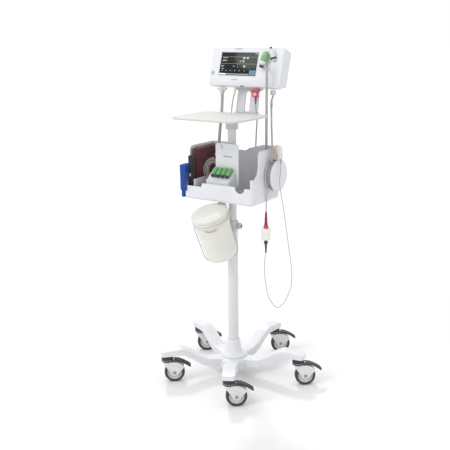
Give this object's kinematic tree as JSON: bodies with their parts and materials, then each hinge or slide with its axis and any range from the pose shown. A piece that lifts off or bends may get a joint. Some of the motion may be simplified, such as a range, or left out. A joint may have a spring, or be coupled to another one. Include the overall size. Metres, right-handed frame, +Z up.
{
  "type": "patient monitor on roll stand",
  "caption": "Bedside patient monitor on a telescoping column with caster base, work tray, accessory basket with cuffs and probes, cable reel and waste bin.",
  "frame": {"origin": "middle of the stand's footprint, on the floor", "axes": "+Z up, the monitor's screen faces -Y, +X to the right of someone reading it"},
  "size_m": [0.5804, 0.5626, 1.2048],
  "materials": {
    "white_paint": "white satin powder coat",
    "column_paint": "satin paint",
    "grey_paint": "grey satin powder coat",
    "caster_paint": "satin paint",
    "wire_steel": "bright wire",
    "white_plastic": "fine texture",
    "grey_plastic": "fine texture",
    "dark_plastic": "fine texture",
    "tray_plastic": "fine texture",
    "beige_plastic": "smooth",
    "green_plastic": "glossy, translucent",
    "red_plastic": "satin",
    "tyre": "matte",
    "hose": "matte",
    "white_cable": "satin",
    "maroon_cloth": "woven nylon",
    "black_cloth": "woven nylon",
    "blue_cloth": "woven nylon",
    "screen": "glossy",
    "circuit_board": "satin",
    "battery": "satin"
  },
  "bodies": {
    "base": {"base_star": "white_paint", "hub_boot": "white_paint", "lower_pole": "column_paint", "pole_collar": "grey_plastic"},
    "caster_1": {"caster_fork_1": "caster_paint"},
    "wheel_1": {"caster_wheel_1": "tyre"},
    "pedal_1": {"brake_pedal_1": "dark_plastic"},
    "caster_2": {"caster_fork_2": "caster_paint"},
    "wheel_2": {"caster_wheel_2": "tyre"},
    "pedal_2": {"brake_pedal_2": "dark_plastic"},
    "caster_3": {"caster_fork_3": "caster_paint"},
    "wheel_3": {"caster_wheel_3": "tyre"},
    "pedal_3": {"brake_pedal_3": "dark_plastic"},
    "caster_4": {"caster_fork_4": "caster_paint"},
    "wheel_4": {"caster_wheel_4": "tyre"},
    "pedal_4": {"brake_pedal_4": "dark_plastic"},
    "caster_5": {"caster_fork_5": "caster_paint"},
    "wheel_5": {"caster_wheel_5": "tyre"},
    "pedal_5": {"brake_pedal_5": "dark_plastic"},
    "knob": {"height_knob": "grey_plastic"},
    "mast": {"upper_pole": "column_paint", "basket": "white_plastic", "probe_rack": "white_plastic", "cuff_maroon": "maroon_cloth", "cuff_black": "black_cloth", "cuff_blue": "blue_cloth", "cuff_tube": "hose", "cable_reel": "white_plastic", "reel_winding": "hose", "finger_clip_bottom": "beige_plastic", "cable_junction": "beige_plastic", "yoke": "grey_paint", "pole_head": "grey_paint", "tray": "tray_plastic", "bin_body": "white_plastic", "bin_cradle": "wire_steel", "nibp_hose": "hose", "spo2_cable": "hose", "probe_cord": "hose", "data_cable": "hose", "aux_cable": "hose", "sensor_cable": "white_cable", "patient_cable": "white_cable"},
    "monitor": {"front_bezel": "white_plastic", "rear_housing": "white_plastic", "display_panel": "screen", "main_board": "circuit_board", "battery_pack": "battery", "spo2_plug": "red_plastic", "nibp_plug": "hose", "aux_plug": "grey_plastic"},
    "probe": {"probe": "white_plastic"},
    "green_probe": {"green_probe": "green_plastic"},
    "spare_probe_1": {"spare_probe_1": "green_plastic"},
    "spare_probe_2": {"spare_probe_2": "green_plastic"},
    "spare_probe_3": {"spare_probe_3": "green_plastic"},
    "spare_probe_4": {"spare_probe_4": "green_plastic"},
    "power_button": {"power_button": "grey_plastic"},
    "finger_clip_jaw": {"finger_clip_top": "white_plastic"},
    "bin_lid": {"bin_lid": "white_plastic"}
  },
  "joints": [
    {"name": "caster_swivel_1", "type": "hinge", "parent": "base", "child": "caster_1", "pos_m": [0.09155, -0.25309, 0.1], "axis": [0, 0, 1], "continuous": true},
    {"name": "wheel_spin_1", "type": "hinge", "parent": "caster_1", "child": "wheel_1", "pos_m": [0.11195, -0.23697, 0.0375], "axis": [-0.6198, 0.7848, 0], "continuous": true},
    {"name": "brake_pedal_press_1", "type": "hinge", "parent": "caster_1", "child": "pedal_1", "pos_m": [0.11156, -0.23728, 0.085], "axis": [-0.6198, 0.7848, 0], "range_deg": [0, 8]},
    {"name": "caster_swivel_2", "type": "hinge", "parent": "base", "child": "caster_2", "pos_m": [0.21536, 0.01734, 0.1], "axis": [0, 0, 1], "continuous": true},
    {"name": "wheel_spin_2", "type": "hinge", "parent": "caster_2", "child": "wheel_2", "pos_m": [0.23576, 0.03345, 0.0375], "axis": [-0.6198, 0.7848, 0], "continuous": true},
    {"name": "brake_pedal_press_2", "type": "hinge", "parent": "caster_2", "child": "pedal_2", "pos_m": [0.23537, 0.03314, 0.085], "axis": [-0.6198, 0.7848, 0], "range_deg": [0, 8]},
    {"name": "caster_swivel_3", "type": "hinge", "parent": "base", "child": "caster_3", "pos_m": [-0.00357, 0.21865, 0.1], "axis": [0, 0, 1], "continuous": true},
    {"name": "wheel_spin_3", "type": "hinge", "parent": "caster_3", "child": "wheel_3", "pos_m": [0.01683, 0.23477, 0.0375], "axis": [-0.6198, 0.7848, 0], "continuous": true},
    {"name": "brake_pedal_press_3", "type": "hinge", "parent": "caster_3", "child": "pedal_3", "pos_m": [0.01644, 0.23446, 0.085], "axis": [-0.6198, 0.7848, 0], "range_deg": [0, 8]},
    {"name": "caster_swivel_4", "type": "hinge", "parent": "base", "child": "caster_4", "pos_m": [-0.26269, 0.07265, 0.1], "axis": [0, 0, 1], "continuous": true},
    {"name": "wheel_spin_4", "type": "hinge", "parent": "caster_4", "child": "wheel_4", "pos_m": [-0.24228, 0.08876, 0.0375], "axis": [-0.6198, 0.7848, 0], "continuous": true},
    {"name": "brake_pedal_press_4", "type": "hinge", "parent": "caster_4", "child": "pedal_4", "pos_m": [-0.24267, 0.08845, 0.085], "axis": [-0.6198, 0.7848, 0], "range_deg": [0, 8]},
    {"name": "caster_swivel_5", "type": "hinge", "parent": "base", "child": "caster_5", "pos_m": [-0.2039, -0.2189, 0.1], "axis": [0, 0, 1], "continuous": true},
    {"name": "wheel_spin_5", "type": "hinge", "parent": "caster_5", "child": "wheel_5", "pos_m": [-0.1835, -0.20279, 0.0375], "axis": [-0.6198, 0.7848, 0], "continuous": true},
    {"name": "brake_pedal_press_5", "type": "hinge", "parent": "caster_5", "child": "pedal_5", "pos_m": [-0.18389, -0.2031, 0.085], "axis": [-0.6198, 0.7848, 0], "range_deg": [0, 8]},
    {"name": "height_knob_turn", "type": "hinge", "parent": "base", "child": "knob", "pos_m": [-0.00785, -0.03267, 0.582], "axis": [1, 0, 0], "range_deg": [0, 360]},
    {"name": "mast_slide", "type": "slide", "parent": "base", "child": "mast", "axis": [0, 0, 1], "range_m": [-0.06, 0.15]},
    {"name": "monitor_tilt", "type": "hinge", "parent": "mast", "child": "monitor", "pos_m": [-0.03265, 0.08133, 1.06], "axis": [1, 0, 0], "range_deg": [-15, 7], "deforming": ["nibp_hose", "spo2_cable", "probe_cord", "data_cable", "aux_cable"]},
    {"name": "probe_pull", "type": "slide", "parent": "monitor", "child": "probe", "axis": [-0.2524, -0.071, 0.965], "range_m": [0, 0.03]},
    {"name": "green_probe_pull", "type": "slide", "parent": "monitor", "child": "green_probe", "axis": [0.2404, 0.2903, 0.9262], "range_m": [0, 0.014]},
    {"name": "power_button_press", "type": "slide", "parent": "monitor", "child": "power_button", "axis": [0, 0.9542, -0.299], "range_m": [0, 0.001], "stiffness_N_per_m": 500, "springref_m": -0.0004},
    {"name": "finger_clip_open", "type": "hinge", "parent": "mast", "child": "finger_clip_jaw", "pos_m": [0.1376, -0.00667, 0.8525], "axis": [0, 1, 0], "range_deg": [0, 10], "stiffness_Nm_per_rad": 0.05, "springref_deg": -11.46, "deforming": ["sensor_cable"]},
    {"name": "bin_lid_open", "type": "hinge", "parent": "mast", "child": "bin_lid", "pos_m": [-0.02804, -0.10302, 0.67368], "axis": [-0.9816, 0.1908, 0], "range_deg": [0, 10]},
    {"name": "spare_probe_pull_1", "type": "slide", "parent": "mast", "child": "spare_probe_1", "axis": [0, 0, 1], "range_m": [0, 0.05]},
    {"name": "spare_probe_pull_2", "type": "slide", "parent": "mast", "child": "spare_probe_2", "axis": [0, 0, 1], "range_m": [0, 0.05]},
    {"name": "spare_probe_pull_3", "type": "slide", "parent": "mast", "child": "spare_probe_3", "axis": [0, 0, 1], "range_m": [0, 0.05]},
    {"name": "spare_probe_pull_4", "type": "slide", "parent": "mast", "child": "spare_probe_4", "axis": [0, 0, 1], "range_m": [0, 0.05]}
  ]
}
